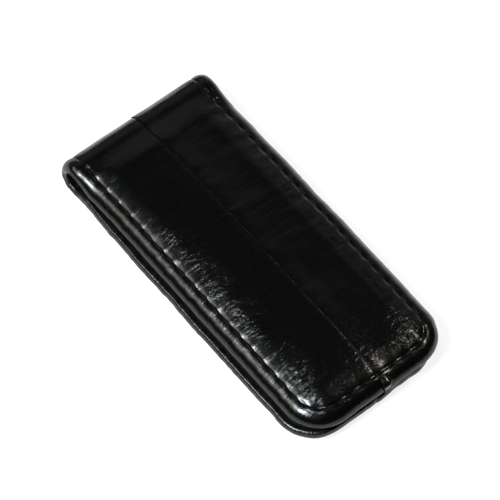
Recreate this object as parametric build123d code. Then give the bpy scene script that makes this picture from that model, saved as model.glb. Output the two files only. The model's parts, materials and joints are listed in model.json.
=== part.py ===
"""Magnetic leather money clip, closed.

One padded leather strip is folded in half. Each half is a leaf: an outer leather skin, wrapped round a
stiffener board and turned in under its edges, a foam pad that crowns the skin, two disc magnets in the
board, and a leather lining that closes the inner face. The outer skin is two panels with a lap seam along
the middle, the right panel over the left. Lock stitching runs round the edge. The leaves meet at a fold
of skin and lining with no board in it, and the clip opens by unrolling that fold.

Frame: +X from the fold to the open end, +Y across to the right panel, +Z up. The origin is at the middle
of the bounding box's base. Each part of the upper leaf is drawn as height above the middle plane, where
the leaves meet, and the lower leaf is its mirror image.
"""

from build123d import *
import math
import os

# Driving dimensions, in millimetres
LENGTH = 71.0  # outside of the fold's thread to the open end
WIDTH = 32.5
CORNER_RADIUS = 7.5  # the two corners at the open end, in plan
SKIN = 1.0  # outer leather
LINING = 0.8
CLOSED_GAP = 0.4  # between the linings
EDGE_HEIGHT = 2.5  # of a leaf's wrapped edge, above its lining
CROWN_HEIGHT = 1.5  # of the padded crown, above the edge
FOLD_RADIUS = 4.1  # outside of the fold
NECK = 4.5  # from the fold's tangent line to the board
NECK_STEPS = 8  # straight runs in the lining's S-curve
TURN_IN = 5.0  # width of skin turned in under the edge
LINING_INSET = 0.9  # lining's edge, in from the skin's
CROWN_INSET = 3.4  # crown's foot, in from the edge
CROWN_ROUND = 1.25
EDGE_ROUND = 0.9
BOARD_ROUND = 0.35
EDGE_ROUND_LOSS = 0.6  # how fast the edge's round shrinks, per depth below the surface
CROWN_ROUND_LOSS = 0.5
LAP = 3.0  # left panel's tongue under the right panel
FIT = 0.05  # clearance round the enclosed pieces

# Magnets
MAGNET_RADIUS = 8.0
MAGNET_THICKNESS = 1.4
MAGNET_FROM_END = (13.0, 36.0)  # centres, back from the open end

# Stitching
STITCH_INSET = 2.5
STITCH_PITCH = 3.0
STITCH_LENGTH = 2.2
THREAD_WIDTH = 0.5
THREAD_HEIGHT = 0.35
SUNK_THREAD_HEIGHT = 0.12  # where the thread has sunk into the lining
SUNK_THREAD_GAP = 0.02  # between the sunk thread and the lining's face

# The fold is a chain of rigid segments with a hinge line on the outer surface at each boundary
HINGES = 4
HINGE_STEP = 180 / HINGES
FACE_GAP_ANGLE = 0.4  # each segment stops this far short of its hinge line, in degrees

# Worked-out places
X_END = LENGTH / 2
X_FOLD = -LENGTH / 2 + FOLD_RADIUS + THREAD_HEIGHT + FIT
X_BOARD = X_FOLD + NECK
LINING_LOW = CLOSED_GAP / 2
EDGE_LOW = LINING_LOW + LINING
EDGE_TOP = EDGE_LOW + EDGE_HEIGHT
CROWN_TOP = EDGE_TOP + CROWN_HEIGHT
MIDDLE_Z = CROWN_TOP
BOARD_LOW = EDGE_LOW + SKIN
BOARD_TOP = EDGE_TOP - SKIN
FOLD_LINING_OUT = FOLD_RADIUS - 2 * SKIN
FOLD_LINING_IN = FOLD_LINING_OUT - LINING
TALL = 40.0  # larger than anything here, for cutting blocks


def slab(inset, x_start, low, high):
    """A plate of the leaf's plan shape, square at the fold end and round at the open end."""
    x_end = X_END - inset
    length = x_end - x_start
    plan = Pos(x_start + length / 2, 0, low) * Rectangle(length, WIDTH - 2 * inset)
    plan = fillet(plan.vertices().group_by(Axis.X)[-1], CORNER_RADIUS - inset)
    return extrude(plan, high - low)


def rounded_slab(inset, x_start, low, high, radius):
    """A slab with its upper edge rounded."""
    plain = slab(inset, x_start, low, high)
    return fillet(plain.edges().group_by(Axis.Z)[-1], radius)


def extruded(points, y_low, y_high):
    """A side profile of (x, height) points, extruded across the width."""
    face = Plane.XZ * make_face(Polyline(*points, close=True))
    return Pos(0, y_high, 0) * extrude(face, y_high - y_low)


def across(y_low, y_high):
    """A block that keeps only what lies between two widths."""
    return Pos(0, (y_low + y_high) / 2, 0) * Box(4 * TALL, y_high - y_low, TALL)


def on_arc(radius, angle):
    """A point on the fold, where angle 0 is the tangent line of the leaf drawn and 180 the other's."""
    turn = math.radians(angle)
    return (X_FOLD - radius * math.sin(turn), radius * math.cos(turn))


def sector(inner, outer, start, stop, y_low, y_high):
    """A curved block of the fold between two radii and two angles."""
    middle = (start + stop) / 2
    edges = ThreePointArc(on_arc(outer, start), on_arc(outer, middle), on_arc(outer, stop))
    edges += Line(on_arc(outer, stop), on_arc(inner, stop))
    edges += ThreePointArc(on_arc(inner, stop), on_arc(inner, middle), on_arc(inner, start))
    edges += Line(on_arc(inner, start), on_arc(outer, start))
    face = Plane.XZ * make_face(edges)
    return Pos(0, y_high, 0) * extrude(face, y_high - y_low)


def neck_curve(offset):
    """The lining's S-curve from the fold down to the closed gap, raised by an offset."""
    drop = FOLD_LINING_IN - LINING_LOW
    points = []
    for i in range(NECK_STEPS + 1):
        share = i / NECK_STEPS
        ease = share * share * (3 - 2 * share)
        points.append((X_FOLD + NECK * share, FOLD_LINING_IN - drop * ease + offset))
    return points


def leaf_envelope(inset):
    """Outside of the boarded part of a leaf's skin, or the space that far inside it."""
    start = X_BOARD if inset == 0 else X_BOARD - FIT
    edge_round = EDGE_ROUND - inset * EDGE_ROUND_LOSS
    edge = rounded_slab(inset, start, EDGE_LOW + inset, EDGE_TOP - inset, edge_round)
    crown = rounded_slab(
        CROWN_INSET + inset,
        X_BOARD + inset,
        EDGE_TOP - inset - CROWN_HEIGHT / 2,
        CROWN_TOP - inset,
        CROWN_ROUND - inset * CROWN_ROUND_LOSS,
    )
    return edge + crown


def skin_neck(y_low, y_high):
    """Skin from the fold's first hinge line to the board, with its turned-in margins."""
    half_width = WIDTH / 2
    stop = HINGE_STEP / 2 - FACE_GAP_ANGLE
    top = [(X_FOLD, FOLD_RADIUS), (X_BOARD, EDGE_TOP)]
    under = [(x, z - SKIN) for x, z in reversed(top)]
    piece = extruded(top + under, y_low, y_high)
    piece += sector(FOLD_RADIUS - SKIN, FOLD_RADIUS, 0, stop, y_low, y_high)
    margin_low = max(y_low, half_width - TURN_IN) if y_high > 0 else y_low
    margin_high = y_high if y_high > 0 else min(y_high, -half_width + TURN_IN)
    lower = [(x, z + LINING) for x, z in neck_curve(0)]
    piece += extruded(lower + under, margin_low, margin_high)
    piece += sector(FOLD_LINING_OUT, FOLD_RADIUS - SKIN, 0, stop, margin_low, margin_high)
    return piece


def tongue_room(inset, clearance):
    """Space under the right panel, beside the seam, out to a given depth below the skin's surface."""
    above_board = Pos(X_BOARD + SKIN + TALL, 0, BOARD_TOP + TALL / 2) * Box(2 * TALL, TALL, TALL)
    return leaf_envelope(inset) & across(-clearance, LAP + clearance) & above_board


def skins():
    """The two outer panels of the upper leaf, with the left one's tongue under the right one."""
    inside = leaf_envelope(SKIN)
    hollow = inside + slab(TURN_IN, X_BOARD - FIT, LINING_LOW, BOARD_LOW + FIT)
    shell = leaf_envelope(0) - hollow
    tongue = tongue_room(SKIN / 2, 0) - inside
    left = (shell & across(-WIDTH, 0)) + tongue + skin_neck(-WIDTH / 2, 0)
    right = (shell & across(0, WIDTH)) - tongue_room(SKIN / 2 - FIT, FIT) + skin_neck(0, WIDTH / 2)
    return left, right


def lining():
    """Flat inner face of the upper leaf, rising into the fold."""
    half_width = WIDTH / 2 - LINING_INSET
    low, high = LINING_LOW, EDGE_LOW
    flat = slab(LINING_INSET, X_BOARD, low, high)
    rise = extruded(neck_curve(0) + neck_curve(LINING)[::-1], -half_width, half_width)
    stop = HINGE_STEP / 2 - FACE_GAP_ANGLE
    curl = sector(FOLD_LINING_IN, FOLD_LINING_OUT, 0, stop, -half_width, half_width)
    return flat + rise + curl


def magnets():
    """Two discs, standing on the lining."""
    disc = Cylinder(MAGNET_RADIUS, MAGNET_THICKNESS)
    height = EDGE_LOW + FIT + MAGNET_THICKNESS / 2
    return [Pos(X_END - back, 0, height) * disc for back in MAGNET_FROM_END]


def board():
    """Stiffener board, thicker inside the turned-in margin, with a hole for each magnet."""
    wide = rounded_slab(SKIN + FIT, X_BOARD, BOARD_LOW + FIT, BOARD_TOP - FIT, BOARD_ROUND)
    middle = slab(TURN_IN + FIT, X_BOARD, EDGE_LOW + FIT, BOARD_LOW + 2 * FIT)
    hole = Cylinder(MAGNET_RADIUS + FIT, TALL)
    for back in MAGNET_FROM_END:
        hole_here = Pos(X_END - back, 0, 0) * hole
        wide -= hole_here
        middle -= hole_here
    return wide + middle


def foam():
    """Foam pad between the board and the crowned skin."""
    inset = CROWN_INSET + SKIN + FIT
    round_over = CROWN_ROUND - SKIN * CROWN_ROUND_LOSS
    return rounded_slab(inset, X_BOARD + SKIN + FIT, BOARD_TOP, CROWN_TOP - SKIN - FIT, round_over)


def stitch(length, width, height, point, heading, low):
    """One visible run of thread, lying flat."""
    x, y = point
    return Pos(x, y, low + height / 2) * Rot(0, 0, heading) * Box(length, width, height)


def stitch_places():
    """Centre and heading of each stitch along a leaf: down the left edge, round the end and back."""
    half_width = WIDTH / 2 - STITCH_INSET
    radius = CORNER_RADIUS - STITCH_INSET
    x_corner = X_END - CORNER_RADIUS
    x_start = X_FOLD + STITCH_PITCH / 2
    straight = x_corner - x_start
    quarter = radius * math.pi / 2
    end = 2 * (WIDTH / 2 - CORNER_RADIUS)
    total = 2 * straight + 2 * quarter + end
    count = round(total / STITCH_PITCH)
    places = []
    for i in range(count + 1):
        run = total * i / count
        side = -1
        if run > total / 2:
            run = total - run
            side = 1
        if run < straight:
            x, y, heading = x_start + run, half_width, 0.0
        elif run < straight + quarter:
            turn = (run - straight) / radius
            x = x_corner + radius * math.sin(turn)
            y = half_width - radius + radius * math.cos(turn)
            heading = -math.degrees(turn)
        else:
            x, y = X_END - STITCH_INSET, half_width - radius - (run - straight - quarter)
            heading = -90.0
        places.append(((x, side * y), side * heading))
    return places


def leaf_stitching():
    """Thread on the outer and inner faces of the upper leaf."""
    runs = []
    inner_top = LINING_LOW - SUNK_THREAD_GAP
    for (x, y), heading in stitch_places():
        neck_share = max(0.0, (X_BOARD - x + STITCH_LENGTH / 2) / NECK)
        rise = (FOLD_RADIUS - EDGE_TOP) * min(1.0, neck_share)
        outer_low = EDGE_TOP + rise + FIT
        runs.append(stitch(STITCH_LENGTH, THREAD_WIDTH, THREAD_HEIGHT, (x, y), heading, outer_low))
        if x > X_BOARD + STITCH_LENGTH:
            low = inner_top - SUNK_THREAD_HEIGHT
            runs.append(stitch(STITCH_LENGTH, THREAD_WIDTH, SUNK_THREAD_HEIGHT, (x, y), heading, low))
    return Compound(children=runs)


def fold_segment(number):
    """Left skin, right skin, lining and stitching of one segment of the fold."""
    start = HINGE_STEP * (number + 0.5) + FACE_GAP_ANGLE
    stop = HINGE_STEP * (number + 1.5) - FACE_GAP_ANGLE
    half_width = WIDTH / 2
    panels = []
    for side in (-1, 1):
        low, high = sorted((0, side * half_width))
        skin = sector(FOLD_RADIUS - SKIN, FOLD_RADIUS, start, stop, low, high)
        low, high = sorted((side * (half_width - TURN_IN), side * half_width))
        skin += sector(FOLD_LINING_OUT, FOLD_RADIUS - SKIN, start, stop, low, high)
        panels.append(skin)
    lining_half = half_width - LINING_INSET
    inner = sector(FOLD_LINING_IN, FOLD_LINING_OUT, start, stop, -lining_half, lining_half)
    middle = (start + stop) / 2
    x, z = on_arc(FOLD_RADIUS + FIT + THREAD_HEIGHT / 2, middle)
    run = Rot(0, -middle, 0) * Box(STITCH_LENGTH, THREAD_WIDTH, THREAD_HEIGHT)
    edge = half_width - STITCH_INSET
    thread = Compound(children=[Pos(x, side * edge, z) * run for side in (-1, 1)])
    return panels[0], panels[1], inner, thread


def place(shape, name):
    """Moves a shape from height above the middle plane to height above the base, and writes it."""
    moved = Pos(0, 0, MIDDLE_Z) * shape
    export_step(moved, f"parts/{name}.step")


def write_leaf():
    """Upper leaf as drawn, and the lower leaf as its mirror image in the middle plane."""
    left, right = skins()
    front_magnet, rear_magnet = magnets()
    pieces = {
        "outer_panel_left": left,
        "outer_panel_right": right,
        "lining": lining(),
        "stiffener_board": board(),
        "foam_pad": foam(),
        "front_magnet": front_magnet,
        "rear_magnet": rear_magnet,
        "edge_stitching": leaf_stitching(),
    }
    for name, shape in pieces.items():
        place(shape, f"upper_{name}")
        place(mirror(shape, Plane.XY), f"lower_{name}")


def write_fold():
    """The three segments between the leaves, from the upper leaf round to the lower."""
    for number, where in enumerate(("upper", "middle", "lower")):
        left, right, inner, thread = fold_segment(number)
        place(left, f"fold_{where}_panel_left")
        place(right, f"fold_{where}_panel_right")
        place(inner, f"fold_{where}_lining")
        place(thread, f"fold_{where}_stitching")


os.makedirs("parts", exist_ok=True)
write_leaf()
write_fold()
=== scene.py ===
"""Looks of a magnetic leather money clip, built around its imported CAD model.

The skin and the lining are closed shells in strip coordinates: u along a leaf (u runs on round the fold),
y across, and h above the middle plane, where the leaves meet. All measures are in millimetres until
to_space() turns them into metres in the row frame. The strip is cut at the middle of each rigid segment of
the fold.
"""

import json
import math

import bpy
import numpy as np
from mathutils import Matrix, Vector


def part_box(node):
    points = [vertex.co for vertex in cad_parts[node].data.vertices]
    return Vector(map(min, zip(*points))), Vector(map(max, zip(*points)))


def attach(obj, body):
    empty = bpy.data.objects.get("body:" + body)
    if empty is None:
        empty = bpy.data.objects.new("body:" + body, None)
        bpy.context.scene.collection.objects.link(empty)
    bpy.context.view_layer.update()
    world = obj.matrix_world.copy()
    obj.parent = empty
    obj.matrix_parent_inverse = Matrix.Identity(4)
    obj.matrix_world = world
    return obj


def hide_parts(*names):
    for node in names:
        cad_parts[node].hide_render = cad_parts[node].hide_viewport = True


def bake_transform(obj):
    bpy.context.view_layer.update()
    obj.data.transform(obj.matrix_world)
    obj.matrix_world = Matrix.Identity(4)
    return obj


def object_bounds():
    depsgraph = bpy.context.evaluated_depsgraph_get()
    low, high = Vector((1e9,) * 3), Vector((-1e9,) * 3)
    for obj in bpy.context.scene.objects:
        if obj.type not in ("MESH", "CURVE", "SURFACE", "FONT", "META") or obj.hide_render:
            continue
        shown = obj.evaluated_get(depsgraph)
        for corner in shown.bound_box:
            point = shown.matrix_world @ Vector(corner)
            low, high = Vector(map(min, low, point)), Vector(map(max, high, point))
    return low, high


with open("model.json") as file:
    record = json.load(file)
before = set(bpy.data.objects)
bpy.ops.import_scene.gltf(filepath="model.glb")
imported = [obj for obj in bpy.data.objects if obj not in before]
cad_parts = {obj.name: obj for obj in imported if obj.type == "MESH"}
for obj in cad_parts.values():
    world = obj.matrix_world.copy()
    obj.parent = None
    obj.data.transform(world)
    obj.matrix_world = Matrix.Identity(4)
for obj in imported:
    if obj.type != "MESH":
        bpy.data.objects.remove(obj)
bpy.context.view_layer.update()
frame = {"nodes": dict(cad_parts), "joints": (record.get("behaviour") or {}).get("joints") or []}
MM = 0.001

# ---------------------------------------------------------------- measures from the frame


def box_mm(node):
    """Lowest and highest corners of a CAD node, in millimetres."""
    low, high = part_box(node)
    return low / MM, high / MM


def hinge_mm(name):
    """Place of a hinge line, in millimetres."""
    return next(Vector(j["pos_m"]) / MM for j in frame["joints"] if j["name"] == name)


HALF_STEP = math.pi / 8  # half of the angle between two hinge lines of the fold
FIRST_HINGE, SECOND_HINGE = hinge_mm("fold_bend"), hinge_mm("fold_bend_second")
FOLD_R = (SECOND_HINGE.z - FIRST_HINGE.z) / (math.cos(HALF_STEP) - math.cos(3 * HALF_STEP))
X_FOLD = FIRST_HINGE.x + FOLD_R * math.sin(HALF_STEP)
MIDDLE_Z = FIRST_HINGE.z + FOLD_R * math.cos(HALF_STEP)

SKIN = 1.0  # leather thickness
SHELL = 0.9 * SKIN  # thickness of the skin's shell, a little less, to stay clear of what it covers
PANEL_LOW, PANEL_HIGH = box_mm("upper_outer_panel_right")
X_END, HALF_W = PANEL_HIGH.x, PANEL_HIGH.y
EDGE_LOW = PANEL_LOW.z - MIDDLE_Z
CROWN_TOP = PANEL_HIGH.z - MIDDLE_Z
EDGE_TOP = box_mm("upper_foam_pad")[0].z - MIDDLE_Z + SKIN
X_BOARD = box_mm("upper_stiffener_board")[0].x
LINING_LOW = box_mm("upper_lining")[0].z - MIDDLE_Z
LINING_INSET = HALF_W - box_mm("upper_lining")[1].y
LINING = EDGE_LOW - LINING_LOW
FOLD_LOW = FOLD_R - 2 * SKIN  # where the turned-in margin meets the lining, in the fold
QUARTER_FOLD = FOLD_R * math.pi / 4
HALF_FOLD = 2 * QUARTER_FOLD
U_CUT = X_FOLD - QUARTER_FOLD  # the strip's cut in the middle of the first fold segment
U_MIDDLE = X_FOLD - HALF_FOLD  # the middle of the fold

# ---------------------------------------------------------------- measures of the leatherwork

CORNER = 7.5
EDGE_IN = 0.12  # the outline's mean inset from the CAD outline, so that its bulges stay inside
GRID_INSET = 6.8  # the plan's rings run from the edge in to here, and a grid fills the rest
RIMS = {  # rounding from the side in to the crest, its fall, and the radius underneath
    "fold": (1.5, 1.0, 0.5),
    1: (2.6, 2.15, 0.25),
    -1: (1.9, 1.2, 0.65),
}
RIM_EDGE = 2.2  # the samples of the rounding start here
RIM_POWER = 1.6  # 2 gives an ellipse, less a slacker curve
RIM_CHANGE = 7.0  # run over which the fold's rim turns into the leaf's
TURN_IN = 5.0
CROWN_FOOT = 2.7
CROWN_RUN = GRID_INSET - CROWN_FOOT
DOME = 0.4
HEADROOM = 0.15  # left under the CAD crown's top for the lap and the relief
CROWN_HEIGHT = CROWN_TOP - EDGE_TOP - HEADROOM - DOME
LEAF_SLIP = {1: (0.1, 0.3), -1: (-0.4, -0.45)}  # how far each leaf's open end lies off its plan, in X and Y
SLIP_RUN = 14.0
WANDERS = ((0.1, 7.0, 3), (0.04, 2.2, 9))  # height, length and noise row of the outline's bends
FULLNESS = 0.1  # how much a leaf is wider in the middle than at its ends
STITCH_INSET = 2.65
GROOVE_WIDTH = 0.38
GROOVE_DEPTH = 0.1
HOLE_DEPTH = 0.05
TONGUE = 1.0  # left panel, on under the right one
TONGUE_ROOM = SHELL + 0.04  # how far the right panel's inner surface lifts over the tongue
LAP_STEP = 0.27
LAP_FADE = 4.5
LAP_PAINTED_HIGHLIGHT = 0.9  # painted highlight on the lap's cut edge, standing in for light caught by the edge, against 1 at a rubbed crest
SEAM_REACH = 7.0  # the panels' meshes follow the seam's wandering this far out
RIM_CHATTER = {1: 0.03, -1: 0.054}
RIM_WEAR = {1: (0.35, 0.3), -1: (0.9, 0.9)}  # reach and strength of the wear at each leaf's rim
INNER_LAYER = 5.0  # third strip coordinate of the inner surface, which gives it a pattern of its own
LEATHER_CREASE, THREAD_CREASE = 50, 60  # degrees from which shading breaks at an edge
RIPPLED_INSET = 4.8
RIPPLE_FADE = 2.2
COLUMN = 0.33  # spacing of the mesh along a leaf
ARC_STEPS = 12  # on each half of a corner
FRONT_STEPS = 26
STITCH_LINE = HALF_FOLD + X_END - CORNER - X_FOLD + (CORNER - STITCH_INSET) * math.pi / 2 + HALF_W - CORNER
STITCHES = 26.5  # from the middle of the fold to the middle of the open end
PITCH = STITCH_LINE / STITCHES
THREAD_R = 0.155
THREAD_RUN = 2.3
PLY_TURN = 1.1  # length in which the two plies go round once
LINING_SHY = 0.55  # how much further in than the CAD lining's the visual lining's edge lies
LINING_ROUND = 0.3
LINING_GAP = 0.03
SIM_SCALE = 0.02  # metres of the simulated sheet for each millimetre of leather
SIM_COLUMNS, SIM_ROWS = 128, 64
SIM_FRAMES = 20
SIM_HEM = 0.7  # width of the strip that is held at the edge
SIM_SMOOTH = 9  # reach, in grid steps, of the smoothing that takes the crown out
SIM_CAP = 0.065  # the bulges' greatest height
SIM_RUN_IN = 3.0  # run over which the bulges begin at the fold


def ease(t):
    """Smooth step from 0 to 1."""
    t = np.clip(t, 0, 1)
    return t * t * (3 - 2 * t)


class Noise:
    """A smooth random field of two coordinates, from -1 to 1, with features about one unit wide."""

    def __init__(self, seed, size=256):
        self.grid = np.random.default_rng(seed).uniform(-1, 1, (size, size))

    def __call__(self, a, b):
        size = len(self.grid)
        i, j = np.floor(a).astype(int), np.floor(b).astype(int)
        fa, fb = ease(a - i), ease(b - j)
        i0, i1, j0, j1 = i % size, (i + 1) % size, j % size, (j + 1) % size
        low = self.grid[i0, j0] * (1 - fa) + self.grid[i1, j0] * fa
        high = self.grid[i0, j1] * (1 - fa) + self.grid[i1, j1] * fa
        return low * (1 - fb) + high * fb


SWELL, RIPPLE, CREASE, WANDER, CHATTER = (Noise(seed) for seed in (11, 12, 13, 14, 15))

# ---------------------------------------------------------------- strip coordinates


def to_space(u, y, h, side):
    """Row-frame points, in metres, of strip coordinates. side is 1 on the upper leaf and -1 on the lower."""
    turn = np.maximum(0, (X_FOLD - u) / FOLD_R)
    slip = ease((u - X_FOLD) / SLIP_RUN)
    x = np.where(turn > 0, X_FOLD - h * np.sin(turn), u + slip * LEAF_SLIP[side][0])
    z = MIDDLE_Z + side * h * np.cos(turn)
    return np.stack([x, y + slip * LEAF_SLIP[side][1], z], axis=-1) * MM


def strip_run(u, side):
    """Distance along the whole strip from the middle of the fold, negative on the lower leaf."""
    return side * (u - U_MIDDLE)


def top_height(u):
    """Outer surface at the stitched edge."""
    return FOLD_R + (EDGE_TOP - FOLD_R) * ease((u - X_FOLD + 1) / (X_BOARD - X_FOLD + 3))


def low_height(u):
    """Underside of the turned-in margin."""
    return FOLD_LOW + (EDGE_LOW - FOLD_LOW) * ease((u - X_FOLD) / (X_BOARD - X_FOLD))


def crown_share(u):
    """How far the padding has risen, from 0 at the fold to 1."""
    return ease((u - X_FOLD) / (1.2 * (X_BOARD - X_FOLD)))


def crown_rise(inset):
    """The crown's profile from its foot in to its flat."""
    t = np.clip((inset - CROWN_FOOT) / CROWN_RUN, 0, 1)
    return 0.25 * ease(t) + 0.75 * (1 - (1 - t) ** 2)


def pinch(u):
    """The edge draws in a little where the board begins."""
    return 0.1 * np.exp(-(((u - X_FOLD - 2.0) / 1.2) ** 2))


# ---------------------------------------------------------------- plan of half a leaf


def spaced(start, stop, step, tight=0.03):
    """Columns from start to stop, with a narrow one at each end, so that shading meets the next piece's."""
    count = max(2, round((stop - start - 2 * tight) / step))
    return np.concatenate([[start], np.linspace(start + tight, stop - tight, count + 1), [stop]])


def half_plan(u_start, u_stop, centre, side):
    """Plan of half a strip, right of the centre line. It ends in a rounded corner if u_stop is None.

    Returns the grid (columns, rows, 2), and for each spot on the edge its point, its outward direction and
    the distance along the stitch line. The grid's last row, then its last column, start the rings.
    """
    half = HALF_W - EDGE_IN
    corner = CORNER - EDGE_IN
    rows = ARC_STEPS + FRONT_STEPS
    share = np.linspace(0, 1, rows + 1)
    across = 0.5 * share + 0.5 * share**2
    if u_stop is None:
        end = X_END - EDGE_IN
        straight = spaced(u_start, end - corner, COLUMN)
        turn = np.linspace(0, math.pi / 2, 2 * ARC_STEPS + 1)[1:]
        front_share = np.linspace(0, 1, FRONT_STEPS + 1)
        front_y = centre + (half - corner - centre) * (0.5 * front_share + 0.5 * front_share**2)
        front_y = front_y[::-1][1:]
        normal = [np.stack([0 * straight, 0 * straight + 1], -1), np.stack([np.sin(turn), np.cos(turn)], -1)]
        normal.append(np.stack([0 * front_y + 1, 0 * front_y], -1))
        normal = np.concatenate(normal)
        heart = [np.stack([straight, 0 * straight + half - corner], -1)]
        heart.append(np.tile([end - corner, half - corner], (len(turn), 1)))
        heart.append(np.stack([0 * front_y + end - corner, front_y], -1))
        edge = np.concatenate(heart) + normal * corner
        stitch_turn = (CORNER - STITCH_INSET) * turn
        run = [straight - U_MIDDLE, end - corner - U_MIDDLE + stitch_turn]
        run.append(end - corner - U_MIDDLE + stitch_turn[-1] + half - corner - front_y)
        run = np.concatenate(run)
        columns = len(straight) - 1 + ARC_STEPS
    else:
        straight = spaced(u_start, u_stop, COLUMN)
        normal = np.tile([0.0, 1.0], (len(straight), 1))
        edge = np.stack([straight, 0 * straight + half], -1)
        run = straight - U_MIDDLE
        columns = len(straight) - 1
    wander = sum(size * WANDER(side * run / length, 0 * run + row) for size, length, row in WANDERS)
    fullness = FULLNESS * np.sin(math.pi * np.clip((edge[:, 0] - X_FOLD) / (X_END - X_FOLD), 0, 1))
    edge = edge + normal * (wander + fullness - FULLNESS - pinch(edge[:, 0]))[:, None]

    ring = edge - normal * GRID_INSET
    top = ring[: columns + 1]
    left = np.stack([0 * across + u_start, centre + (top[0, 1] - centre) * across], -1)
    if u_stop is None:
        right = ring[columns:][::-1]
        extra = np.linspace(straight[-1], right[0, 0], ARC_STEPS + 1)[1:]
        bottom_x = np.concatenate([straight, extra])
    else:
        right = np.stack([0 * across + u_stop, centre + (top[-1, 1] - centre) * across], -1)
        bottom_x = straight
    bottom = np.stack([bottom_x, 0 * bottom_x + centre], -1)
    xi = ((bottom_x - bottom_x[0]) / (bottom_x[-1] - bottom_x[0]))[:, None, None]
    eta = across[None, :, None]
    grid = (1 - eta) * bottom[:, None] + eta * top[:, None] + (1 - xi) * left[None] + xi * right[None]
    grid -= (1 - xi) * ((1 - eta) * bottom[0] + eta * top[0]) + xi * ((1 - eta) * bottom[-1] + eta * top[-1])
    return grid, edge, normal, run


# ---------------------------------------------------------------- shells


def quads(index):
    """Faces of a grid of vertex numbers."""
    corners = [index[:-1, :-1], index[1:, :-1], index[1:, 1:], index[:-1, 1:]]
    return np.stack(corners, -1).reshape(-1, 4)


def ribbon(first, second):
    """Faces between two rows of vertex numbers."""
    return np.stack([first[:-1], first[1:], second[1:], second[:-1]], -1)


class Shell:
    """A closed shell over a half plan: outer and inner surface, each a grid and rings, and their rims."""

    def __init__(self, grid_shape, ring_shape, rounded):
        self.rounded = rounded
        columns, rows = grid_shape[0] - 1, grid_shape[1] - 1
        ring = np.arange(ring_shape[0] * ring_shape[1]).reshape(ring_shape)
        self.own = np.ones(grid_shape, bool)
        self.own[:, rows] = False
        if rounded:
            self.own[columns] = False
        grid = np.zeros(grid_shape, int)
        grid[self.own] = ring.size + np.arange(self.own.sum())
        grid[:, rows] = ring[: columns + 1, 0]
        if rounded:
            grid[columns] = ring[columns:, 0][::-1]
        self.grid, self.ring = grid, ring
        self.count = ring.size + int(self.own.sum())

    def gather(self, grid_values, ring_values):
        """One array in vertex order from a grid's and the rings' values."""
        tail = ring_values.shape[2:]
        return np.concatenate([ring_values.reshape((-1,) + tail), grid_values[self.own]])

    def faces(self, centre_rim=True):
        """All faces, looking outwards on the upper leaf's right half."""
        n = self.count
        outer = np.concatenate([quads(self.grid), quads(self.ring)])
        start = np.concatenate([self.grid[0], self.ring[0, 1:]])
        margin = self.ring[:, -1]
        parts = [outer, outer[:, ::-1] + n, ribbon(start, start + n), ribbon(margin, margin + n)]
        centre = self.grid[:, 0]
        if self.rounded:
            centre = np.concatenate([centre, self.ring[-1, 1:]])
        else:
            stop = np.concatenate([self.grid[-1], self.ring[-1, 1:]])
            parts.append(ribbon(stop, stop + n)[:, ::-1])
        if centre_rim:
            parts.append(ribbon(centre, centre + n)[:, ::-1])
        return np.concatenate(parts)


def make_mesh(name, points, faces, attributes, sharp):
    """A smooth-shaded object with point attributes. Edges sharper than an angle, in degrees, stay sharp."""
    mesh = bpy.data.meshes.new(name)
    mesh.from_pydata(points.tolist(), [], faces)
    for key, values in attributes.items():
        kind = "FLOAT_VECTOR" if values.ndim == 2 else "FLOAT"
        layer = mesh.attributes.new(key, kind, "POINT")
        layer.data.foreach_set("vector" if values.ndim == 2 else "value", values.astype(np.float32).ravel())
    mesh.polygons.foreach_set("use_smooth", np.ones(len(faces), bool))
    mesh.set_sharp_from_angle(angle=math.radians(sharp))
    obj = bpy.data.objects.new(name, mesh)
    bpy.context.scene.collection.objects.link(obj)
    return obj


# ---------------------------------------------------------------- the padding's pressure on the skin


CLOTH = {
    "quality": 6,
    "mass": 0.3,
    "tension_stiffness": 25,
    "compression_stiffness": 25,
    "shear_stiffness": 8,
    "bending_stiffness": 1.5,
    "vertex_group_mass": "held",
    "use_pressure": True,
    "uniform_pressure_force": 11,
}


def held_points(flat):
    """Numbers of the sheet's points along its edge and at the stitch holes."""
    at_side = HALF_W - np.abs(flat[:, 1]) < SIM_HEM
    at_end = (X_END - flat[:, 0] < SIM_HEM) | (flat[:, 0] - X_FOLD < 0.3)
    held = set(np.flatnonzero(at_side | at_end).tolist())
    for hand in (1, -1):
        for number in range(int(STITCHES)):
            hole_u, hole_y, _ = stitch_spot((number + 0.5) * PITCH)
            if hole_u > X_FOLD:
                away = np.hypot(flat[:, 0] - hole_u, flat[:, 1] - hand * hole_y)
                held.add(int(np.argmin(away)))
    return sorted(held)


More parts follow.
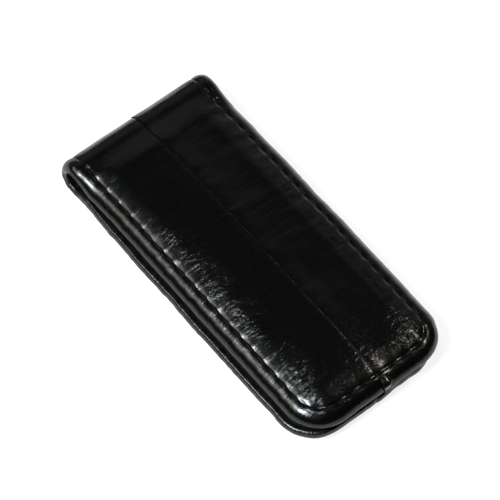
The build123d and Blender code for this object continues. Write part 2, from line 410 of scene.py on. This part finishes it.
def settle_leather():
    """Cloth simulation of a leaf's skin, held by its edge and its stitch holes and pressed up by the padding.

    Returns its bulges and puckers, in millimetres, on a grid over the leaf's plan, without the crown itself.
    """
    u = np.linspace(X_FOLD, X_END, SIM_COLUMNS)
    y = np.linspace(-HALF_W, HALF_W, SIM_ROWS)
    plan_u, plan_y = np.meshgrid(u, y, indexing="ij")
    flat = np.stack([plan_u, plan_y, 0 * plan_u], -1).reshape(-1, 3)
    faces = quads(np.arange(plan_u.size).reshape(plan_u.shape))
    mesh = bpy.data.meshes.new("settling")
    mesh.from_pydata((flat * SIM_SCALE).tolist(), [], faces.tolist())
    sheet = bpy.data.objects.new("settling", mesh)
    bpy.context.scene.collection.objects.link(sheet)
    group = sheet.vertex_groups.new(name="held")
    group.add(held_points(flat), 1.0, "REPLACE")
    cloth = sheet.modifiers.new("settle", "CLOTH")
    for key, value in CLOTH.items():
        setattr(cloth.settings, key, value)
    cloth.settings.effector_weights.gravity = 0
    cloth.collision_settings.use_collision = False
    for number in range(1, SIM_FRAMES + 1):
        bpy.context.scene.frame_set(number)
    settled = sheet.evaluated_get(bpy.context.evaluated_depsgraph_get())
    height = np.array([vertex.co.z for vertex in settled.data.vertices]).reshape(plan_u.shape) / SIM_SCALE
    bpy.context.scene.frame_set(1)
    bpy.data.objects.remove(sheet)
    bpy.data.meshes.remove(mesh)
    reach = np.arange(-SIM_SMOOTH, SIM_SMOOTH + 1)
    weights = np.exp(-((2 * reach / SIM_SMOOTH) ** 2))
    weights /= weights.sum()
    smooth = np.pad(height, SIM_SMOOTH, mode="edge")
    smooth = np.apply_along_axis(np.convolve, 0, smooth, weights, "valid")
    smooth = np.apply_along_axis(np.convolve, 1, smooth, weights, "valid")
    return SIM_CAP * np.tanh((height - smooth) / SIM_CAP)


def settled_height(u, y):
    """The simulated bulges at a leaf's plan points."""
    i = np.clip((u - X_FOLD) / (X_END - X_FOLD) * (SIM_COLUMNS - 1), 0, SIM_COLUMNS - 1.001)
    j = np.clip((y + HALF_W) / (2 * HALF_W) * (SIM_ROWS - 1), 0, SIM_ROWS - 1.001)
    i0, j0 = i.astype(int), j.astype(int)
    fi, fj = i - i0, j - j0
    low = SETTLED[i0, j0] * (1 - fi) + SETTLED[i0 + 1, j0] * fi
    high = SETTLED[i0, j0 + 1] * (1 - fi) + SETTLED[i0 + 1, j0 + 1] * fi
    return (low * (1 - fj) + high * fj) * ease((u - X_FOLD) / SIM_RUN_IN)


# ---------------------------------------------------------------- the skin


def skin_profile(rim):
    """The skin's cross-section at an edge, from the grid out, round the rim and back under.

    For each point of the outer and the inner surface: its inset; how much of its height is the top's rather
    than the underside's; its height above that; and how much of the relief moves it up and outwards. Last
    comes how far past the crest each point lies, along the surface.
    """
    rim_run, rim_fall, under_r = RIMS[rim]
    slope = np.linspace(GRID_INSET, STITCH_INSET + 0.6, 11)
    seam = STITCH_INSET + np.array([0.45, 0.32, 0.2, 0.1, 0, -0.1, -0.2, -0.32])
    rounding = RIM_EDGE * (1 - np.sin(np.linspace(0, math.pi / 2, 18)))
    rounding[-1] = 0.0
    top = np.concatenate([slope, seam, rounding])
    outward = np.clip((rim_run - top) / rim_run, 0, 1)
    fall = rim_fall * (1 - (1 - outward**RIM_POWER) ** (1 / RIM_POWER))
    side = np.linspace(0, 1, 8)[1:]
    under = np.linspace(0, math.pi / 2, 7)[1:]
    margin = np.linspace(under_r, TURN_IN, 10)[1:]
    bulge = 0.15 * (EDGE_TOP - EDGE_LOW - rim_fall - under_r)
    inset = [top, -bulge * np.sin(math.pi * side), under_r * (1 - np.cos(under)), margin]
    level = [0 * top + 1, 1 - side, 0 * under, 0 * margin]
    height = [-fall, -rim_fall * (1 - side) + under_r * side, under_r * (1 - np.sin(under)), 0 * margin]
    up = [np.sqrt(1 - outward**2), 0 * side, 0 * under, 0 * margin]
    out = [outward, 0 * side + 1, np.cos(under), 0 * margin]
    outer = np.array([np.concatenate(x) for x in (inset, level, height, up, out)])

    scale_top = (GRID_INSET - SHELL) / GRID_INSET
    scale_low = (TURN_IN - SHELL) / TURN_IN
    inset = [SHELL + top * scale_top, 0 * side + SHELL]
    inset += [SHELL + under_r * (1 - np.cos(under)) * scale_low, SHELL + margin * scale_low]
    height = [0 * top - SHELL, -SHELL * (1 - side) + SHELL * side, 0 * under + SHELL, 0 * margin + SHELL]
    inner = np.array([np.concatenate(x) for x in (inset, level, height, up, out)])
    step = np.hypot(np.diff(outer[0]), np.diff(outer[1] * (EDGE_TOP - EDGE_LOW) + outer[2]))
    length = np.concatenate([[0], np.cumsum(step)])
    beyond = np.maximum(0, length - length[len(top) - 1])
    return outer, inner, beyond


def seam_y(run):
    """The lap seam wanders a little from the middle."""
    return 0.14 * WANDER(run / 9, 0 * run + 21) + 0.05 * WANDER(run / 2.5, 0 * run + 31)


def follow_seam(y, run, hand):
    """Moves a panel's mesh with the seam, less the further out."""
    return y + hand * seam_y(run) * (1 - ease(np.abs(y) / SEAM_REACH))


def tongue_lift(y, run, hand):
    """How far the inner surface lifts over the left panel's tongue: on the right panel only."""
    past = y - hand * seam_y(run)
    return TONGUE_ROOM * (1 - ease((past - 1.1) / 1.6)) if hand > 0 else 0 * y


def relief(run, y, inset, stitch_run, side, hand):
    """How far the leather stands proud of its plain shape."""
    # fine ripples across the strip, strongest on the crown's slope
    slope = np.exp(-(((inset - 4.2) / 1.6) ** 2))
    ripple = 0.030 * RIPPLE(run / 0.95, y / 5 + 7) + 0.018 * CREASE(run / 0.55 + y / 9, y / 2.6)
    ripple = ripple * (0.45 + 0.9 * slope + 0.35 * SWELL(run / 8, y / 8))
    # slow swell of the padding
    swell = 0.07 * SWELL(run / 7, y / 6) + 0.035 * SWELL(run / 3.1 + 40, y / 3.4)
    swell = swell * ease((inset - 3) / 3.5)
    # stitched groove, deeper at the holes, and what it pushes up beside it
    hole = -np.cos(2 * math.pi * stitch_run / PITCH)
    uneven = CHATTER(side * stitch_run / 1.9, 0 * stitch_run + hand * 3)
    depth = GROOVE_DEPTH + HOLE_DEPTH * hole + 0.03 * uneven
    groove = -depth * np.exp(-(((inset - STITCH_INSET) / GROOVE_WIDTH) ** 2))
    pucker = -0.015 * hole * np.exp(-(((inset - STITCH_INSET - 0.4) / 1.1) ** 2))
    # unevenness of the rim
    chatter = RIM_CHATTER[side] * CHATTER(side * stitch_run / 0.9, inset / 1.5 + hand * 11)
    chatter = chatter * np.exp(-((inset / 1.3) ** 2))
    # the lap: the right panel's step, which fades outwards, and the left panel's dip under it
    past = hand * y - hand * seam_y(run)
    if hand > 0:
        step = LAP_STEP * (0.75 + 0.25 * CHATTER(run / 1.7, 0 * run + 17))
        lap = step * (1 - ease(past / LAP_FADE)) - 0.06 * np.exp(-((past / 0.18) ** 2))
    else:
        lap = -0.05 * np.exp(-((past / 0.5) ** 2)) - 0.05 * (past < -0.05)
    settled = settled_height(U_MIDDLE + side * run, side * y)
    return ripple + swell + groove + pucker + chatter + lap + settled


def ripple_growth(u, hand):
    """The slope's ripples get stronger towards the open end, on the right only near its corner."""
    start, run, least = (X_FOLD + 8, 26, 0.08) if hand < 0 else (X_END - 14, 9, 0.06)
    return least + (1 - least) * ease((u - start) / run)


def fading(grid, rounded):
    """How much is left of the slope's ripples, over the grid."""
    away = grid[:, -1:, 1] - grid[..., 1]
    if rounded:
        away = np.minimum(away, grid[-1:, :, 0] - grid[..., 0])
    return np.exp(-((away / RIPPLE_FADE) ** 2))


def skin_attributes(shell, grid, edge, normal, profile, side, hand):
    """Point attributes: the place on the flat strip, how worn the leather is together with a painted
    highlight along the lap's cut edge, and how rippled.

    The profile is the fold's insets, the insets at each edge point, and the lengths past the crest.
    """
    plain_inset, inset, beyond = profile
    unrolled = plain_inset - beyond
    flat_ring = edge[:, None] - normal[:, None] * unrolled[:, None]
    flat = shell.gather(grid * [1, hand], flat_ring * [1, hand])
    flat[:, 0] = strip_run(flat[:, 0], side)
    outer_strip = np.c_[flat, 0 * flat[:, 0]]
    inner_strip = np.c_[flat, 0 * flat[:, 0] + INNER_LAYER]

    reach, share = RIM_WEAR[side]
    wear_and_highlight_ring = share * np.exp(-((inset / reach) ** 2)) + 0.1 * np.exp(-(((inset - 4.3) / 0.8) ** 2))
    lap_highlight_grid = np.zeros(grid.shape[:2])
    # painted highlight: the right panel's lap edge is made lighter, growing towards the open end and fading
    # out towards the fold, where the edge lies in shade
    lap_highlight_grid[:, 0] = LAP_PAINTED_HIGHLIGHT * (hand > 0) * ease((grid[:, 0, 0] - X_BOARD) / 30)
    if shell.rounded:
        # painted highlight: the lap edge's lighter colour runs on round the open end
        wear_and_highlight_ring[-1] += LAP_PAINTED_HIGHLIGHT * (hand > 0)
    wear_and_painted_highlight = shell.gather(lap_highlight_grid, wear_and_highlight_ring)

    growth_ring = ripple_growth(edge[:, 0], hand)[:, None]
    rippled_ring = growth_ring * np.exp(-((np.minimum(0, inset - RIPPLED_INSET) / 1.1) ** 2))
    rippled_grid = ripple_growth(grid[..., 0], hand) * fading(grid, shell.rounded)
    rippled = shell.gather(rippled_grid, rippled_ring)
    return {
        "strip": np.concatenate([outer_strip, inner_strip]),
        "wear_and_painted_highlight": np.concatenate([wear_and_painted_highlight, 0 * wear_and_painted_highlight]),
        "rippled": np.concatenate([rippled, 0 * rippled]),
    }


def skin_piece(name, side, hand, u_start, u_stop):
    """One panel's stretch of skin, as a closed shell."""
    centre = 0.0 if hand > 0 else -TONGUE
    grid, edge, normal, stitch_run = half_plan(u_start, u_stop, centre, side * hand)
    plain_outer, plain_inner, beyond = skin_profile("fold")
    leaf_outer, leaf_inner, _ = skin_profile(side)
    share = ease((edge[:, 0] - X_FOLD) / RIM_CHANGE)[None, :, None]
    outer = plain_outer[:, None] * (1 - share) + leaf_outer[:, None] * share
    inner = plain_inner[:, None] * (1 - share) + leaf_inner[:, None] * share
    shell = Shell(grid.shape[:2], (len(edge), len(beyond)), u_stop is None)
    surfaces = []
    for is_inner, (inset, level, height, up, out) in enumerate((outer, inner)):
        u = edge[:, None, 0] - normal[:, None, 0] * inset
        y = edge[:, None, 1] - normal[:, None, 1] * inset
        run = strip_run(u, side)
        y = follow_seam(y, run, hand)
        if is_inner:
            bump = tongue_lift(y, run, hand)
        else:
            bump = relief(run, hand * y, inset, stitch_run[:, None] + 0 * u, side, hand)
        u = u + normal[:, None, 0] * out * bump
        y = y + normal[:, None, 1] * out * bump
        rise = level * crown_share(u) * CROWN_HEIGHT * crown_rise(inset)
        h = level * top_height(u) + (1 - level) * low_height(u) + height + rise + up * bump
        ring_points = to_space(u, hand * y, h, side)

        gu, gy = grid[..., 0], grid[..., 1]
        run = strip_run(gu, side)
        gy = follow_seam(gy, run, hand)
        if is_inner:
            bump = tongue_lift(gy, run, hand) - SHELL
        else:
            bump = relief(run, hand * gy, 0 * gu + GRID_INSET, 0 * gu, side, hand)
        dome = DOME * (1 - (gy / (HALF_W - GRID_INSET)) ** 2) ** 2 * ease((X_END - GRID_INSET - gu) / 9)
        rise = crown_share(gu) * (CROWN_HEIGHT + dome)
        grid_points = to_space(gu, hand * gy, top_height(gu) + rise + bump, side)
        surfaces.append(shell.gather(grid_points, ring_points))

    attributes = skin_attributes(shell, grid, edge, normal, (plain_outer[0], outer[0], beyond), side, hand)
    faces = shell.faces()
    if side * hand < 0:
        faces = faces[:, ::-1]
    return make_mesh(name, np.concatenate(surfaces), faces.tolist(), attributes, LEATHER_CREASE)


# ---------------------------------------------------------------- the lining


def lining_piece(name, side, u_start, u_stop):
    """A stretch of lining, as a closed slab in one piece across."""
    shown_inset = LINING_INSET + LINING_SHY
    rounding = LINING_ROUND * (1 - np.sin(np.linspace(0, math.pi / 2, 6)))
    top = [np.linspace(GRID_INSET, 3.7, 6), STITCH_INSET + np.linspace(0.7, -0.7, 9), shown_inset + rounding]
    top = np.concatenate(top)
    past_round = np.clip(LINING_ROUND + shown_inset - top, 0, LINING_ROUND)
    soften = LINING_ROUND - np.sqrt(np.maximum(0, LINING_ROUND**2 - past_round**2))
    halves = []
    faces = []
    strips = []
    count = 0
    for hand in (1, -1):
        grid, edge, normal, stitch_run = half_plan(u_start, u_stop, 0.0, 1)
        shell = Shell(grid.shape[:2], (len(edge), len(top)), u_stop is None)
        surfaces = []
        for visible in (True, False):
            u = edge[:, None, 0] - normal[:, None, 0] * top
            y = edge[:, None, 1] - normal[:, None, 1] * top
            gu, gy = grid[..., 0], grid[..., 1]
            heights = []
            for a, b, inset, run in ((u, y, top[None, :] + 0 * u, stitch_run[:, None] + 0 * u),
                                     (gu, gy, 0 * gu + GRID_INSET, 0 * gu)):
                high = low_height(a) - LINING_GAP
                if visible:
                    hole = -np.cos(2 * math.pi * run / PITCH)
                    dent = (0.16 + 0.08 * hole) * np.exp(-(((inset - STITCH_INSET) / 0.45) ** 2))
                    grain = 0.02 * SWELL(strip_run(a, side) / 3, hand * b / 3) * ease((inset - 1.4) / 2)
                    heights.append(high - LINING + 2 * LINING_GAP + dent + grain)
                else:
                    heights.append(high)
            ring_h = heights[0] + (soften if visible else -0.5 * soften)
            grid_points = to_space(gu, hand * gy, heights[1], side)
            surfaces.append(shell.gather(grid_points, to_space(u, hand * y, ring_h, side)))
        flat = shell.gather(grid * [1, hand], np.stack([u, hand * y], -1))
        flat[:, 0] = strip_run(flat[:, 0], side)
        strips.append(np.concatenate([np.c_[flat, 0 * flat[:, 0]]] * 2))
        half_faces = shell.faces(centre_rim=False) + count
        faces.append(half_faces if hand * side < 0 else half_faces[:, ::-1])
        halves.append(np.concatenate(surfaces))
        count += 2 * shell.count
    points = np.concatenate(halves)
    key = np.round(points / (MM * 1e-5)).astype(np.int64)
    _, first, back = np.unique(key, axis=0, return_index=True, return_inverse=True)
    faces = back.ravel()[np.concatenate(faces)]
    strip = np.concatenate(strips)[first]
    attributes = {"strip": strip, "wear_and_painted_highlight": 0 * strip[:, 0]}
    return make_mesh(name, points[first], faces.tolist(), attributes, LEATHER_CREASE)


# ---------------------------------------------------------------- the stitching


def stitch_spot(run):
    """Plan point and outward direction on the stitch line's right half, at a run from the fold's middle."""
    corner = CORNER - STITCH_INSET
    straight = X_END - CORNER - U_MIDDLE
    turn = np.clip((run - straight) / corner, 0, math.pi / 2)
    past = np.maximum(0, run - straight - corner * math.pi / 2)
    u = np.minimum(run, straight) + U_MIDDLE + corner * np.sin(turn)
    y = HALF_W - CORNER - past + corner * np.cos(turn)
    return u, y, np.stack([np.sin(turn), np.cos(turn)], -1)


def stitch_tube(run, side, hand, inner):
    """One stitch: a two-ply thread that dips into its holes. Points (rings, around, 3) in metres."""
    steps, around = 15, 10
    t = np.linspace(-1, 1, steps)
    length = THREAD_RUN / 2
    u, y, out = stitch_spot(run + t * length)
    theta = np.linspace(0, 2 * math.pi, around, endpoint=False)[None, :]
    twist = 2 * (theta - 2 * math.pi * (t * length / PLY_TURN)[:, None] - run)
    taper = (1 - 0.35 * np.abs(t) ** 4)[:, None]
    radius = THREAD_R * taper * (1 + 0.13 * np.cos(twist))
    if inner:
        h = low_height(u) - LINING + 0.14 - 0.13 * (1 - np.abs(t) ** 3) + 0.25 * np.abs(t) ** 8
        lift = -0.6 * radius * np.sin(theta)
    else:
        h = top_height(u) - 0.16 - 0.26 * np.abs(t) ** 3
        lift = 0.85 * radius * np.sin(theta)
    wide = radius * np.cos(theta)
    uu = u[:, None] + out[:, None, 0] * wide
    yy = y[:, None] + out[:, None, 1] * wide
    return to_space(uu, hand * yy, h[:, None] + lift, side)


def thread_object(name, stitches):
    """All of a node's stitches in one object."""
    points = []
    faces = []
    count = 0
    for tube, flip in stitches:
        rings, around = tube.shape[:2]
        index = count + np.arange(rings * around).reshape(rings, around)
        loop = np.concatenate([index, index[:, :1]], 1)
        body = quads(loop)
        caps = [list(index[0]), list(index[-1][::-1])]
        rows = body.tolist() + caps
        faces += rows if flip else [row[::-1] for row in rows]
        points.append(tube.reshape(-1, 3))
        count += rings * around
    return make_mesh(name, np.concatenate(points), faces, {}, THREAD_CREASE)


# ---------------------------------------------------------------- materials


class Nodes:
    """A material's node tree, with short calls to add and link nodes."""

    def __init__(self, name):
        self.material = bpy.data.materials.new(name)
        self.material.use_nodes = True
        self.tree = self.material.node_tree
        self.shader = self.tree.nodes["Principled BSDF"]

    def add(self, kind, inputs=None, **settings):
        node = self.tree.nodes.new(kind)
        for key, value in settings.items():
            setattr(node, key, value)
        for key, value in (inputs or {}).items():
            self.feed(node.inputs[key], value)
        return node

    def attribute(self, name):
        return self.add("ShaderNodeAttribute", attribute_name=name)

    def scaled(self, vector, scale):
        return self.add("ShaderNodeVectorMath", {0: vector, 1: scale}, operation="MULTIPLY").outputs[0]

    def noise(self, vector, scale, detail=3.0, rough=0.5, distortion=0.0):
        inputs = {"Vector": vector, "Scale": scale, "Detail": detail, "Roughness": rough}
        inputs["Distortion"] = distortion
        return self.add("ShaderNodeTexNoise", inputs).outputs["Fac"]

    def cells(self, vector, scale, feature="DISTANCE_TO_EDGE"):
        inputs = {"Vector": vector, "Scale": scale}
        return self.add("ShaderNodeTexVoronoi", inputs, feature=feature).outputs["Distance"]

    def ramp(self, value, low, high, start, stop):
        inputs = {"Value": value, "From Min": low, "From Max": high, "To Min": start, "To Max": stop}
        return self.add("ShaderNodeMapRange", inputs).outputs[0]

    def math(self, operation, a, b):
        return self.add("ShaderNodeMath", {0: a, 1: b}, operation=operation).outputs[0]

    def feed(self, socket, value):
        """Links a socket to another one, or sets its value."""
        if isinstance(value, bpy.types.NodeSocket):
            self.tree.links.new(value, socket)
        else:
            socket.default_value = value

    def mix(self, share, a, b):
        node = self.add("ShaderNodeMix", data_type="RGBA")
        for key, value in (("Factor", share), ("A", a), ("B", b)):
            self.feed(next(s for s in node.inputs if s.name == key and s.enabled), value)
        return next(s for s in node.outputs if s.enabled)

    def bump(self, height, distance, strength=1.0, normal=None):
        inputs = {"Height": height, "Distance": distance, "Strength": strength}
        if normal is not None:
            inputs["Normal"] = normal
        return self.add("ShaderNodeBump", inputs).outputs[0]

    def finish(self, **sockets):
        for key, value in sockets.items():
            self.feed(self.shader.inputs[key.replace("_", " ")], value)
        return self.material


def outer_leather():
    """Black glazed leather: fine ripples across the strip, creases between them, worn crests, and a painted
    highlight on the lap's cut edge.
    """
    n = Nodes("outer_leather")
    strip = n.attribute("strip").outputs["Vector"]
    wear_and_painted_highlight = n.attribute("wear_and_painted_highlight").outputs["Fac"]
    rippled = n.attribute("rippled").outputs["Fac"]
    ripple = n.noise(n.scaled(strip, (1.0, 0.22, 1.0)), 1.5, 4, 0.55, 0.6)
    fine = n.noise(n.scaled(strip, (1.0, 0.4, 1.0)), 4.2, 3, 0.6, 0.3)
    crease = n.ramp(n.cells(n.scaled(strip, (1.0, 0.35, 1.0)), 1.9), 0.0, 0.12, 0.0, 1.0)
    pores = n.noise(strip, 9.0, 2, 0.5)
    cloud = n.noise(strip, 0.16, 3, 0.5)
    crimp = n.noise(n.scaled(strip, (1.0, 0.4, 1.0)), 1.35, 3, 0.5, 0.6)
    patchy = n.ramp(n.noise(strip, 0.14, 2, 0.5), 0.4, 0.6, 0.15, 1.0)
    normal = n.bump(crimp, 0.42 * MM, n.math("MULTIPLY", rippled, patchy))
    normal = n.bump(n.noise(strip, 2.2, 3, 0.6), 0.16 * MM, n.math("MULTIPLY", wear_and_painted_highlight, 0.8), normal)
    normal = n.bump(ripple, 0.05 * MM, 0.8, normal)
    normal = n.bump(crease, 0.02 * MM, 0.35, normal)
    normal = n.bump(fine, 0.012 * MM, 0.5, normal)
    normal = n.bump(pores, 0.003 * MM, 0.4, normal)
    colour = n.mix(cloud, (0.0004, 0.0005, 0.00045, 1), (0.0010, 0.0012, 0.0010, 1))
    # lighter brownish colour where the leather is worn at its rims, and a painted highlight along the lap's
    # cut edge
    wear_and_highlight = n.math("MULTIPLY", wear_and_painted_highlight, n.ramp(n.noise(strip, 0.9, 4, 0.6), 0.42, 0.7, 0.0, 0.55))
    colour = n.mix(wear_and_highlight, colour, (0.020, 0.017, 0.014, 1))
    rough = n.math("ADD", n.ramp(fine, 0.3, 0.7, 0.15, 0.25), n.math("MULTIPLY", wear_and_highlight, 0.15))
    return n.finish(Base_Color=colour, Roughness=rough, Normal=normal, IOR=1.45, Coat_Weight=0.18,
                    Coat_Roughness=0.12, Specular_IOR_Level=0.35)


def lining_leather():
    """Thin black lining leather, half matt, with an even grain."""
    n = Nodes("lining_leather")
    strip = n.attribute("strip").outputs["Vector"]
    grain = n.ramp(n.cells(strip, 2.6), 0.0, 0.2, 0.0, 1.0)
    cloud = n.noise(strip, 0.3, 4, 0.6)
    normal = n.bump(grain, 0.03 * MM, 0.5)
    normal = n.bump(n.noise(strip, 7.0, 3, 0.6), 0.01 * MM, 0.6, normal)
    colour = n.mix(cloud, (0.008, 0.0078, 0.0075, 1), (0.017, 0.0165, 0.016, 1))
    rough = n.ramp(cloud, 0.3, 0.7, 0.42, 0.58)
    return n.finish(Base_Color=colour, Roughness=rough, Normal=normal, Specular_IOR_Level=0.35)


def thread():
    """Bonded black thread."""
    n = Nodes("thread")
    place = n.add("ShaderNodeTexCoord").outputs["Object"]
    fibre = n.noise(place, 9000.0, 3, 0.6)
    colour = n.mix(fibre, (0.003, 0.003, 0.003, 1), (0.008, 0.008, 0.008, 1))
    normal = n.bump(fibre, 0.02 * MM, 0.5)
    return n.finish(Base_Color=colour, Roughness=n.ramp(fibre, 0.3, 0.7, 0.7, 0.85), Normal=normal,
                    Specular_IOR_Level=0.05)


def board():
    """Pressed leather board: brown fibre flecks."""
    n = Nodes("leather_board")
    place = n.add("ShaderNodeTexCoord").outputs["Object"]
    fleck = n.noise(n.scaled(place, (1.0, 2.2, 3.0)), 1400.0, 5, 0.65, 0.8)
    colour = n.mix(fleck, (0.20, 0.12, 0.06, 1), (0.48, 0.35, 0.22, 1))
    return n.finish(Base_Color=colour, Roughness=n.ramp(fleck, 0.3, 0.7, 0.75, 0.92),
                    Normal=n.bump(fleck, 0.05 * MM, 0.7))


def foam():
    """Open foam: pores of about half a millimetre."""
    n = Nodes("foam")
    place = n.add("ShaderNodeTexCoord").outputs["Object"]
    pores = n.ramp(n.cells(place, 1700.0, "F1"), 0.1, 0.5, 0.0, 1.0)
    cloud = n.noise(place, 300.0, 3, 0.5)
    colour = n.mix(pores, (0.24, 0.22, 0.19, 1), n.mix(cloud, (0.5, 0.48, 0.42, 1), (0.62, 0.6, 0.54, 1)))
    return n.finish(Base_Color=colour, Roughness=n.ramp(cloud, 0.3, 0.7, 0.82, 0.95),
                    Normal=n.bump(pores, 0.15 * MM, 0.8))


def magnet():
    """Nickel plate with fine handling scratches."""
    n = Nodes("magnet_nickel")
    place = n.add("ShaderNodeTexCoord").outputs["Object"]
    scratch = n.noise(n.scaled(place, (1.0, 14.0, 1.0)), 700.0, 3, 0.6, 0.4)
    cloud = n.noise(place, 260.0, 3, 0.5)
    colour = n.mix(cloud, (0.55, 0.54, 0.51, 1), (0.68, 0.67, 0.64, 1))
    return n.finish(Base_Color=colour, Metallic=1.0, Roughness=n.ramp(scratch, 0.3, 0.7, 0.16, 0.34),
                    Normal=n.bump(scratch, 0.004 * MM, 0.5))


def dress(obj, material):
    """Gives an object one material."""
    obj.data.materials.clear()
    obj.data.materials.append(material)


# ---------------------------------------------------------------- building

LEATHER, LINING_SKIN, THREAD = outer_leather(), lining_leather(), thread()
BOARD, FOAM, MAGNET = board(), foam(), magnet()
SIDES = {"upper": 1, "lower": -1}
HANDS = {"left": -1, "right": 1}


def bend(obj):
    """Bakes a piece's transform into its mesh."""
    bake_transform(obj)


def build_strip():
    """Skin and lining: a leaf and half of the fold on each side."""
    for where, side in SIDES.items():
        for label, hand in HANDS.items():
            skin = skin_piece(f"{where}_skin_{label}", side, hand, U_CUT, None)
            dress(skin, LEATHER)
            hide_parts(f"{where}_outer_panel_{label}")
            bend(skin)
            fold = skin_piece(f"fold_{where}_skin_{label}", side, hand, U_MIDDLE, U_CUT)
            dress(fold, LEATHER)
            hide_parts(f"fold_{where}_panel_{label}")
            if side < 0:
                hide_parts(f"fold_middle_panel_{label}")
            bend(fold)
        leaf = lining_piece(f"{where}_lining_skin", side, U_CUT, None)
        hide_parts(f"{where}_lining")
        bend(leaf)
        half = lining_piece(f"fold_{where}_lining_skin", side, U_MIDDLE, U_CUT)
        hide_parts(f"fold_{where}_lining")
        if side < 0:
            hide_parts("fold_middle_lining")
        bend(half)
        for piece in (leaf, half):
            dress(piece, LINING_SKIN)


def build_stitching():
    """Each node's stitches: one in each fold segment and the rest on the leaves."""
    whole = int(STITCHES)
    for where, side in SIDES.items():
        groups = {f"{where}_leaf": range(2, whole + 1), f"fold_{where}": (1,)}
        if side > 0:
            groups["fold_middle"] = (0,)
        for body, numbers in groups.items():
            stitches = []
            for number in numbers:
                for hand in HANDS.values():
                    for inner in (False, True):
                        tube = stitch_tube(number * PITCH, side, hand, inner)
                        stitches.append((tube, (hand * side > 0) != inner))
            node = f"{where}_edge_stitching" if body.endswith("leaf") else f"{body}_stitching"
            obj = thread_object(f"{node}_thread", stitches)
            dress(obj, THREAD)
            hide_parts(node)
            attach(obj, body)


def dress_insides():
    """Materials for the CAD nodes inside the leaves."""
    for where in SIDES:
        dress(frame["nodes"][f"{where}_stiffener_board"], BOARD)
        dress(frame["nodes"][f"{where}_foam_pad"], FOAM)
        for place in ("front", "rear"):
            dress(frame["nodes"][f"{where}_{place}_magnet"], MAGNET)


# ---------------------------------------------------------------- the studio


FLOOR_GLOW = 0.82
FLOOR_SIZE = 4.0  # metres
WORLD_GLOW = 0.012


def add_floor():
    """A plain pale floor that glows a little, so that the clip hardly throws a shadow on it."""
    bpy.ops.mesh.primitive_plane_add(size=FLOOR_SIZE, location=(0, 0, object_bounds()[0][2]))
    floor = bpy.context.object
    floor.name = "floor"
    n = Nodes("floor_paper")
    place = n.add("ShaderNodeTexCoord").outputs["Object"]
    tone = n.mix(n.noise(place, 40.0, 3, 0.5), (0.2, 0.2, 0.2, 1), (0.22, 0.22, 0.22, 1))
    dress(floor, n.finish(Base_Color=tone, Roughness=0.9, Specular_IOR_Level=0.1,
                          Emission_Color=(1, 1, 1, 1), Emission_Strength=FLOOR_GLOW))


AIM = Vector((0, 0, MIDDLE_Z)) * MM


def add_light(name, azimuth, elevation, distance, size, power, colour):
    """A soft rectangular light that faces the clip. Azimuth 0 is towards +X and 90 towards +Y.

    Angles are in degrees, the distance and the size in metres, and the power in watts.
    """
    a, e = math.radians(azimuth), math.radians(elevation)
    away = Vector((math.cos(a) * math.cos(e), math.sin(a) * math.cos(e), math.sin(e)))
    data = bpy.data.lights.new(name, "AREA")
    data.shape = "RECTANGLE"
    data.size, data.size_y = size
    data.energy = power
    data.color = colour
    light = bpy.data.objects.new(name, data)
    light.location = AIM + away * distance
    light.rotation_euler = (-away).to_track_quat("-Z", "Y").to_euler()
    bpy.context.scene.collection.objects.link(light)


COOL, PALE, NEUTRAL = (0.88, 0.94, 1.0), (0.98, 1.0, 0.96), (1.0, 1.0, 0.98)
WARM, CREAM = (1.0, 0.92, 0.82), (1.0, 0.93, 0.82)
BACK_CARDS = ((22, 0.20), (36, 0.19), (48, 0.14))  # elevation and power of the cards behind the fold

CAMERA_AZIMUTH = 47.4
CAMERA_ELEVATION = 60.3
CAMERA_ROLL = 3.9
CAMERA_DISTANCE = 0.54
FIELD_WIDTH = 0.088  # seen across the picture at the clip's distance
OFF_CENTRE = (-0.00048, 0.0009)  # picture's centre from the clip's, along the camera's axes
SENSOR = 36.0


def add_camera():
    """The camera: a long lens from above the open end's left corner."""
    a, e, r = (math.radians(v) for v in (CAMERA_AZIMUTH, CAMERA_ELEVATION, CAMERA_ROLL))
    forward = Vector((-math.sin(a) * math.cos(e), math.cos(a) * math.cos(e), -math.sin(e)))
    level = Vector((math.cos(a), math.sin(a), 0))
    upright = level.cross(forward)
    right = level * math.cos(r) + upright * math.sin(r)
    up = upright * math.cos(r) - level * math.sin(r)
    data = bpy.data.cameras.new("camera")
    data.sensor_width = SENSOR
    data.lens = SENSOR * CAMERA_DISTANCE / FIELD_WIDTH
    data.clip_start, data.clip_end = 0.01, 20.0
    camera = bpy.data.objects.new("camera", data)
    spot = AIM - forward * CAMERA_DISTANCE + right * OFF_CENTRE[0] + up * OFF_CENTRE[1]
    axes = Matrix((right, up, -forward)).transposed()
    camera.matrix_world = Matrix.Translation(spot) @ axes.to_4x4()
    bpy.context.scene.collection.objects.link(camera)
    bpy.context.scene.camera = camera


def add_studio():
    """Floor, lights, world and camera."""
    add_floor()
    add_light("key", -86, 54, 0.6, (0.21, 0.2), 7.5, COOL)
    add_light("overhead", -72, 78, 0.6, (0.1, 0.08), 0.9, COOL)
    add_light("soft_left", 236, 42, 0.7, (0.6, 0.2), 1.5, WARM)
    add_light("soft_right", 72, 52, 0.7, (0.11, 0.11), 1.7, CREAM)
    for number, (elevation, power) in enumerate(BACK_CARDS):
        add_light(f"back_card_{number}", 152, elevation, 1.0, (1.1, 0.24), power, PALE)
    add_light("side_card_low", 112, 7, 0.8, (0.6, 0.15), 0.18, NEUTRAL)
    add_light("side_card", 113, 22, 0.8, (0.6, 0.26), 0.085, NEUTRAL)
    world = bpy.data.worlds.new("studio")
    world.use_nodes = True
    background = world.node_tree.nodes["Background"]
    background.inputs["Color"].default_value = (1, 1, 1, 1)
    background.inputs["Strength"].default_value = WORLD_GLOW
    bpy.context.scene.world = world
    bpy.context.scene.view_settings.view_transform = "Standard"
    add_camera()


SETTLED = settle_leather()
build_strip()
build_stitching()
dress_insides()
add_studio()
